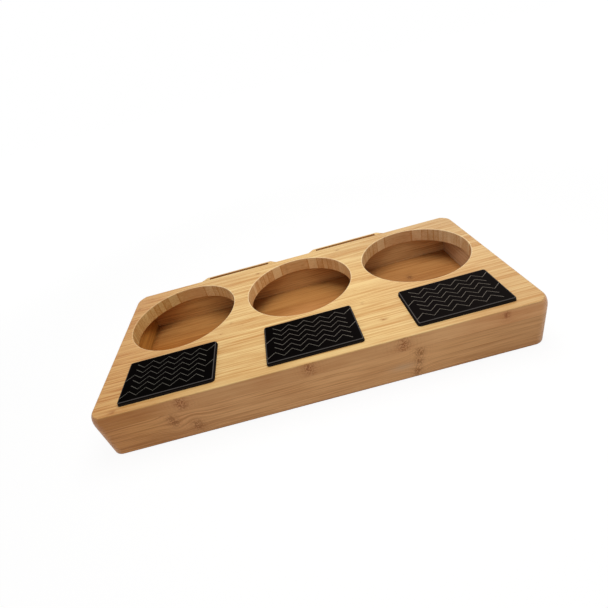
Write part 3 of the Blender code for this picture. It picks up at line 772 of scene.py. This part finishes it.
front_finish = rail_finish("bamboo_front", X_Z_Y, front_knots(RAIL_KNOTS))
plain_finish = rail_finish("bamboo_rail", X_Z_Y)
end_finish = rail_finish("bamboo_end", Y_Z_X)
between_rails = [((0, inner_front + GLUE_LINE, 0), (0, -1, 0)),
                 ((0, inner_rear - GLUE_LINE, 0), (0, 1, 0))]
RAILS = (
    ("front", "front_rail", front_finish, [((0, inner_front, 0), (0, 1, 0))]),
    ("rear", "rear_rail", plain_finish, [((0, inner_rear, 0), (0, -1, 0))]),
    ("left", "end_rail_left", end_finish, [((-inner_end, 0, 0), (1, 0, 0)), *between_rails]),
    ("right", "end_rail_right", end_finish, [((inner_end, 0, 0), (-1, 0, 0)), *between_rails]),
)
for side, node, finish, planes in RAILS:
    finish_piece(rail(planes), f"{side}_skirt", finish, "rack", node)


# Floor and dividers
# The bottom board is lapped into the rails, and a divider stands on it at each side of the middle
# well. They are the same bamboo, left darker, and flat, so the CAD solids only take the finish.

INNER_TONES = ((0.50, 0.245, 0.072), (0.33, 0.132, 0.030), (0.12, 0.04, 0.012))
INNER_GLOSS = 0.5
FLOOR_STRIP = 0.024
FLOOR_PHASE = 0.2
DIVIDER_STRIP = 0.022
FLOOR_CALM = 0.4
FLOOR_KNOTS = ((0.2000, 0.0700, 0.0050),)
FLOOR_STREAK = (-0.1770, 0.0930)
FLOOR_STREAK_SIZE = (0.014, 0.0018)
FLOOR_STREAK_BROWN = (0.14, 0.050, 0.016)
FLOOR_STREAK_SHARE = 0.45
FLOOR_FRONT_LIGHT = (1.10, 1.04, 1.0)
FLOOR_MIDDLE_LIGHT = (1.16, 1.16, 1.28)
FLOOR_LEFT_FRONT_TINT = (1.01, 0.88, 0.66)
FLOOR_LEFT_REAR_TINT = (1.01, 1.01, 1.03)
FLOOR_RIGHT_TINT = (0.96, 0.96, 1.06)
FLOOR_END_SHADE = (0.82, 0.76, 0.66)


def dress_floor(places, colour):
    """Painted light that makes it paler towards the front, painted shade in the corners beside the
    end rails, and a dark streak in the left well.
    """
    x, y = places[:2]
    rearward = y.step(0.045, 0.095)
    left_tint = blend_colours(rearward, FLOOR_LEFT_FRONT_TINT, FLOOR_LEFT_REAR_TINT)
    # Painted light brightens the front and middle of the floor, and painted shade darkens it
    # beside the end rails.
    colour = tinted(colour, [
        (1.0 - y.step(-0.02, 0.12), FLOOR_FRONT_LIGHT),
        (x.hump(0.06) * (1.0 - rearward), FLOOR_MIDDLE_LIGHT),
        ((-x).step(0.08, 0.16), left_tint),
        (x.step(0.08, 0.16), FLOOR_RIGHT_TINT),
        (abs(x).step(inner_end - 0.014, inner_end - 0.001), FLOOR_END_SHADE),
    ])
    streak = (x - FLOOR_STREAK[0]).hump(FLOOR_STREAK_SIZE[0])
    streak = streak * (y - FLOOR_STREAK[1]).hump(FLOOR_STREAK_SIZE[1])
    return blend_colours(streak * FLOOR_STREAK_SHARE, colour, FLOOR_STREAK_BROWN)


floor_finish = bamboo("bamboo_floor", X_Y_Z, FLOOR_STRIP, INNER_TONES, phase=FLOOR_PHASE,
                      knots=lambda places: knots_in(places, (0, 1), FLOOR_KNOTS, 1.0),
                      calm=lambda places: FLOOR_CALM, dress=dress_floor, gloss=INNER_GLOSS,
                      node_share=0.0)
divider_finish = bamboo("bamboo_divider", Y_Z_X, DIVIDER_STRIP, INNER_TONES, gloss=INNER_GLOSS,
                        node_share=0.0)
for node, finish in (("bottom_board", floor_finish), ("divider_left", divider_finish),
                     ("divider_right", divider_finish)):
    frame["nodes"][node].material_slots[0].material = finish


# Rear bars
# Two low bars glued along the rear edge, flush with the top. Each is hollowed from above, which
# leaves a long narrow slot, and its ends sweep into the edge of the board.

BAR_SLOPE = 0.011
BAR_SLOPE_STEPS = 24
BAR_TIP = 0.0008
SLOT_WIDTH = 0.0062
SLOT_LENGTH = 0.1174
SLOT_FLOOR = 0.005
SLOT_SKIN = 0.00035


def sign_bar(side):
    """A bar extruded from its outline seen from above, with its slot and dowel bores cut out."""
    low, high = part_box(f"sign_bar_{side}")
    centre = (low.x + high.x) / 2
    reach = (high.x - low.x) / 2
    base = top_high.y + GLUE_LINE
    outline = []
    for step in range(BAR_SLOPE_STEPS + 1):
        share = step / BAR_SLOPE_STEPS
        swell = (1 - math.cos(share * math.pi)) / 2
        outline.append((reach - share * BAR_SLOPE,
                        top_high.y + BAR_TIP + (high.y - top_high.y - BAR_TIP) * swell))
    outline = [(reach, base)] + outline
    outline += [(-x, y) for x, y in reversed(outline)]
    shape = bmesh.new()
    face = shape.faces.new([shape.verts.new((centre + x, y, low.z)) for x, y in outline])
    raised = bmesh.ops.extrude_face_region(shape, geom=[face])["geom"]
    bmesh.ops.translate(shape, verts=[v for v in raised if isinstance(v, bmesh.types.BMVert)],
                        vec=(0, 0, high.z - low.z))
    bmesh.ops.recalc_face_normals(shape, faces=shape.faces)
    slot = block((centre - SLOT_LENGTH / 2, top_high.y - OVERRUN, low.z + SLOT_FLOOR),
                 (centre + SLOT_LENGTH / 2, top_high.y + SLOT_WIDTH, high.z + OVERRUN))
    bores = [bore_round(name) for name in sorted(frame["nodes"])
             if name.startswith(f"bar_dowel_{side}")]
    return carve(shape, [slot] + bores)


BAR_PHASE = 0.5
BAR_EDGE_SKIN = (0.0004, 0.0012)
BAR_SIDE_TINT = (0.90, 0.70, 0.64)
SLOT_SHADE_TINT = (0.82, 0.74, 0.62)


def dress_bar(places, colour):
    """Browner outer faces, and painted shade that darkens the walls of the slot."""
    y, z = places[1:]
    below = (top_high.z - z).step(*BAR_EDGE_SKIN)
    in_slot = y < top_high.y + SLOT_WIDTH + SLOT_SKIN
    # Painted shade darkens the walls of the narrow slot.
    return tinted(colour, [(below, BAR_SIDE_TINT), (below * in_slot, SLOT_SHADE_TINT)])


bar_finish = bamboo("bamboo_bar", X_Y_Z, TOP_STRIP, TOP_TONES, phase=BAR_PHASE, dress=dress_bar)
for side in ("left", "right"):
    finish_piece(sign_bar(side), f"rear_bar_{side}", bar_finish, "rack",
                 f"sign_bar_{side}")


# Drip mats
# Three moulded black rubber mats that lift out. Each has a rounded upper edge and six fine
# zigzag grooves, paler where cleaning has dried in them.

MAT_EDGE_RADIUS = 0.002
MAT_EDGE_STEPS = 6
GROOVE_ROWS = 6
GROOVE_BENDS = 10
GROOVE_END_MARGIN = 0.01315
GROOVE_SIDE_MARGIN = 0.0137
GROOVE_SWING = 0.010
GROOVE_RADIUS = 0.00056
GROOVE_LIFT = 0.00030
GROOVE_RESOLUTION = 3


def groove_cutter(row, low, high):
    """A thin tube along one zigzag. Counted from 0 at the front, rows 0 and 3 run out to the left
    end of the mat, and rows 2 and 5 to the right."""
    centre = (low + high) / 2
    length, depth = high.x - low.x, high.y - low.y
    half_wave = (length - 2 * GROOVE_END_MARGIN) / (GROOVE_BENDS - 1)
    pitch = (depth - 2 * GROOVE_SIDE_MARGIN) / (GROOVE_ROWS - 1)
    y = centre.y + (row - (GROOVE_ROWS - 1) / 2) * pitch
    points = [Vector((low.x + GROOVE_END_MARGIN + bend * half_wave,
                      y + GROOVE_SWING / 2 * (-1) ** bend, high.z + GROOVE_LIFT))
              for bend in range(GROOVE_BENDS)]
    run_out = Vector((half_wave, GROOVE_SWING, 0))
    run_out *= (GROOVE_END_MARGIN - MAT_EDGE_RADIUS) / half_wave
    if row % 3 == 0:
        points.insert(0, points[0] - run_out)
    if row % 3 == 2:
        points.append(points[-1] + run_out)
    line = bpy.data.curves.new("groove", "CURVE")
    line.dimensions = "3D"
    line.bevel_depth = GROOVE_RADIUS
    line.bevel_resolution = GROOVE_RESOLUTION
    line.use_fill_caps = True
    spline = line.splines.new("POLY")
    spline.points.add(len(points) - 1)
    for spot, point in zip(spline.points, points):
        spot.co = (*point, 1.0)
    tube = bpy.data.objects.new("groove", line)
    bpy.context.scene.collection.objects.link(tube)
    bpy.context.view_layer.update()
    shape = bmesh.new()
    shape.from_mesh(tube.to_mesh())
    tube.to_mesh_clear()
    bmesh.ops.remove_doubles(shape, verts=shape.verts, dist=WELD)
    bpy.data.objects.remove(tube)
    bpy.data.curves.remove(line)
    return shape


def mat_edges(x, y):
    """How far a place lies outside the flat top of the nearest mat, in metres."""
    nearest = None
    for low, high in mat_boxes.values():
        reach = (high - low) / 2 - Vector((MAT_EDGE_RADIUS, MAT_EDGE_RADIUS, 0))
        over_x = abs(x - (low.x + high.x) / 2) - reach.x
        over_y = abs(y - (low.y + high.y) / 2) - reach.y
        over = over_x.most(over_y)
        nearest = over if nearest is None else nearest.least(over)
    return nearest


MAT_CLOUD = (0.030, 0.030, 0.030)
MAT_GRIT = (0.0006, 0.0006, 0.0006)
MAT_GRIT_RELIEF = 0.00002
MAT_GRIT_ROUGHNESS = 0.14
MAT_ROUGHNESS = 0.44
MAT_BLACKS = ((0.0015, 0.0012, 0.0011), (0.0031, 0.0024, 0.0022))
MAT_RIGHT_REFLECTION = (0.0090, 0.0070, 0.0064)
MAT_REFLECTION_FADE = (-0.12, 0.34)
MAT_SIDE_BLACK = (0.022, 0.019, 0.018)
MAT_SIDE_DROP = (0.0012, 0.0020)
MAT_SPECULAR = 0.001
EDGE_HIGHLIGHT_GREY = (0.120, 0.105, 0.098)
EDGE_HIGHLIGHT_SHARE = 0.8
EDGE_HIGHLIGHT_INSET = 0.0006
EDGE_HIGHLIGHT_WIDTH = 0.0005
EDGE_HIGHLIGHT_REACH = 0.0008
DRIED_LEFT = (0.138, 0.127, 0.107)
DRIED_RIGHT = (0.200, 0.171, 0.142)
DRIED_FADE = (-0.26, 0.22)
DRIED_SKIN = (0.00001, 0.00005)
DRIED_REACH = 0.0006
DRIED_ROUGHNESS = 0.2


def mat_finish(top_z):
    """Black rubber with pale grooves, a painted highlight round the upper edge, and a painted
    reflection that lightens the black towards the right.
    """
    made, shader, places = start_finish("mat_black", 0.6, specular=MAT_SPECULAR)
    x, y, z = places
    cloud = noise(places, MAT_CLOUD, detail=3.0)
    grit = noise(places, MAT_GRIT, roughness=0.6)
    colour = blend_colours(cloud, *MAT_BLACKS)
    # Painted reflection: the black grows lighter towards the right.
    colour = blend_colours(x.step(*MAT_REFLECTION_FADE), colour, MAT_RIGHT_REFLECTION)
    over = mat_edges(x, y)
    sunk = (top_z - z).step(*DRIED_SKIN) * (z > top_z - DRIED_REACH) * (over < -DRIED_SKIN[1])
    # Painted highlight: a pale line along the rounded upper edge.
    edge_highlight = (over - EDGE_HIGHLIGHT_INSET).hump(EDGE_HIGHLIGHT_WIDTH) * (z > top_z - EDGE_HIGHLIGHT_REACH)
    side = (top_z - z).step(*MAT_SIDE_DROP) * (over > 0.0)
    colour = blend_colours(side, colour, MAT_SIDE_BLACK)
    colour = blend_colours(edge_highlight * EDGE_HIGHLIGHT_SHARE, colour, EDGE_HIGHLIGHT_GREY)
    dried = blend_colours(x.step(*DRIED_FADE), DRIED_LEFT, DRIED_RIGHT)
    colour = blend_colours(sunk, colour, dried)
    feed(shader, "Base Color", colour)
    feed(shader, "Roughness", MAT_ROUGHNESS + grit * MAT_GRIT_ROUGHNESS + sunk * DRIED_ROUGHNESS)
    bump(shader, grit, MAT_GRIT_RELIEF)
    return made


mat_black = mat_finish(mat_boxes["centre"][1].z)
for side, (low, high) in mat_boxes.items():
    shape = block(low, high)
    round_off(shape, upright, MAT_CORNER_RADIUS, MAT_CORNER_STEPS)
    round_off(shape, lambda e: middle(e).z > high.z - WELD, MAT_EDGE_RADIUS, MAT_EDGE_STEPS)
    shape = carve(shape, [groove_cutter(row, low, high) for row in range(GROOVE_ROWS)])
    finish_piece(shape, f"mat_{side}_rubber", mat_black, f"mat_{side}",
                 f"drip_mat_{side}")


# Hidden hardware
# Beech dowels hold the boards, six countersunk screws hold the dividers from below, and six
# stick-on rubber feet carry the rack.

BEECH = ((0.50, 0.34, 0.19), (0.62, 0.46, 0.29))
FOOT_BLACKS = ((0.014, 0.014, 0.014), (0.026, 0.026, 0.026))
ZINC = ((0.50, 0.50, 0.50), (0.62, 0.62, 0.61))
HARDWARE_RELIEF = 0.00003
HARDWARE_ROUGHNESS = 0.12


def simple_finish(name, colours, size, roughness, metallic=0.0):
    """A finish that wanders between two near colours in patches of the given size."""
    made, shader, places = start_finish(name, roughness, metallic=metallic)
    cloud = noise(places, (size, size, size), detail=3.0)
    feed(shader, "Base Color", blend_colours(cloud, *colours))
    feed(shader, "Roughness", roughness + (cloud - 0.5) * HARDWARE_ROUGHNESS)
    bump(shader, cloud, HARDWARE_RELIEF)
    return made


dowel_finish = simple_finish("beech", BEECH, 0.002, 0.7)
foot_finish = simple_finish("foot_black", FOOT_BLACKS, 0.003, 0.8)
steel_finish = simple_finish("zinc_steel", ZINC, 0.002, 0.35, metallic=1.0)
HARDWARE = {"top_dowel": dowel_finish, "corner_dowel": dowel_finish, "bar_dowel": dowel_finish,
            "foot": foot_finish, "bottom_screw": steel_finish}
for name, node in frame["nodes"].items():
    for kind, finish in HARDWARE.items():
        if name.startswith(kind):
            node.material_slots[0].material = finish


# Setting
# The photograph's camera, close above the front and rolled to one side, a pale floor that keeps a
# faint shadow, and soft light from above. The camera's angles are in degrees.

CAMERA_PLACE = (0.0074, -0.5196, 0.4058)
HEADING = -0.8146
PITCH = 33.4827
ROLL = 15.4778
FOCAL_PIXELS = 382.97
FRAME_PIXELS = 608
SENSOR = 36.0
NEAREST = 0.01

lens = bpy.data.cameras.new("camera")
lens.sensor_width = SENSOR
lens.lens = FOCAL_PIXELS / FRAME_PIXELS * SENSOR
lens.clip_start = NEAREST
camera = bpy.data.objects.new("camera", lens)
camera.matrix_world = (Matrix.Translation(CAMERA_PLACE)
                       @ Matrix.Rotation(math.radians(-HEADING), 4, "Z")
                       @ Matrix.Rotation(math.radians(90 - PITCH), 4, "X")
                       @ Matrix.Rotation(math.radians(-ROLL), 4, "Z"))
bpy.context.scene.collection.objects.link(camera)
bpy.context.scene.camera = camera

GROUND_SIZE = 12.0
GROUND_DROP = 0.0001
ground_shape = bmesh.new()
bmesh.ops.create_grid(ground_shape, x_segments=1, y_segments=1, size=GROUND_SIZE / 2)
bmesh.ops.translate(ground_shape, verts=ground_shape.verts, vec=(0, 0, -GROUND_DROP))
ground_mesh = bpy.data.meshes.new("floor")
ground_shape.to_mesh(ground_mesh)
ground_shape.free()
ground = bpy.data.objects.new("floor", ground_mesh)
bpy.context.scene.collection.objects.link(ground)

WHITE = (1.0, 1.0, 1.0, 1.0)
PAPER_GREY = (0.75, 0.74, 0.73, 1.0)
PAPER_GLOW = 1.06
SHADOW_SHARE = 0.13
SHADOW_REACH = (0.5, 1.6)


def seen_rays(start):
    """1 for the camera's own rays and for those that gloss and glass pass on, 0 for the rest."""
    rays = start.node("ShaderNodeLightPath", {}, {}, "Is Camera Ray")
    return rays.most(rays.other("Is Glossy Ray")).most(rays.other("Is Transmission Ray"))


paper = bpy.data.materials.new("paper")
paper.use_nodes = True
tree = paper.node_tree
start = Wire(tree)
lit = start.node("ShaderNodeBsdfDiffuse", {}, {"Color": PAPER_GREY})
glow = start.node("ShaderNodeEmission", {}, {"Color": WHITE, "Strength": PAPER_GLOW})
place = start.node("ShaderNodeTexCoord", {}, {}, "Object")
away = start.node("ShaderNodeVectorMath", {"operation": "LENGTH"}, {0: place}, "Value")
shadow = (1.0 - away.step(*SHADOW_REACH)) * SHADOW_SHARE
bright = seen_rays(start) * (1.0 - shadow)
mixed = start.node("ShaderNodeMixShader", {}, {0: bright, 1: lit, 2: glow})
tree.links.new(mixed.socket, tree.nodes["Material Output"].inputs["Surface"])
ground_mesh.materials.append(paper)

SKY_STRENGTH = 0.42
world = bpy.data.worlds.new("studio")
bpy.context.scene.world = world
world.use_nodes = True
tree = world.node_tree
tree.nodes.remove(tree.nodes["Background"])
start = Wire(tree)
sky = start.node("ShaderNodeBackground", {}, {"Color": WHITE, "Strength": SKY_STRENGTH})
white = start.node("ShaderNodeBackground", {}, {"Color": WHITE, "Strength": 1.0})
mixed = start.node("ShaderNodeMixShader", {}, {0: seen_rays(start), 1: sky, 2: white})
tree.links.new(mixed.socket, tree.nodes["World Output"].inputs["Surface"])

LAMP_PLACE = (0.12, 0.05, 0.80)
LAMP_TARGET = (0.06, 0.02, 0.0)
LAMP_SIZE = 0.55
LAMP_POWER = 4.55
softbox = bpy.data.lights.new("overhead", "AREA")
softbox.shape = "SQUARE"
softbox.size = LAMP_SIZE
softbox.energy = LAMP_POWER
lamp = bpy.data.objects.new("overhead", softbox)
lamp.location = LAMP_PLACE
aim = Vector(LAMP_TARGET) - Vector(LAMP_PLACE)
lamp.rotation_euler = aim.to_track_quat("-Z", "Y").to_euler()
bpy.context.scene.collection.objects.link(lamp)

bpy.context.scene.view_settings.view_transform = "Standard"
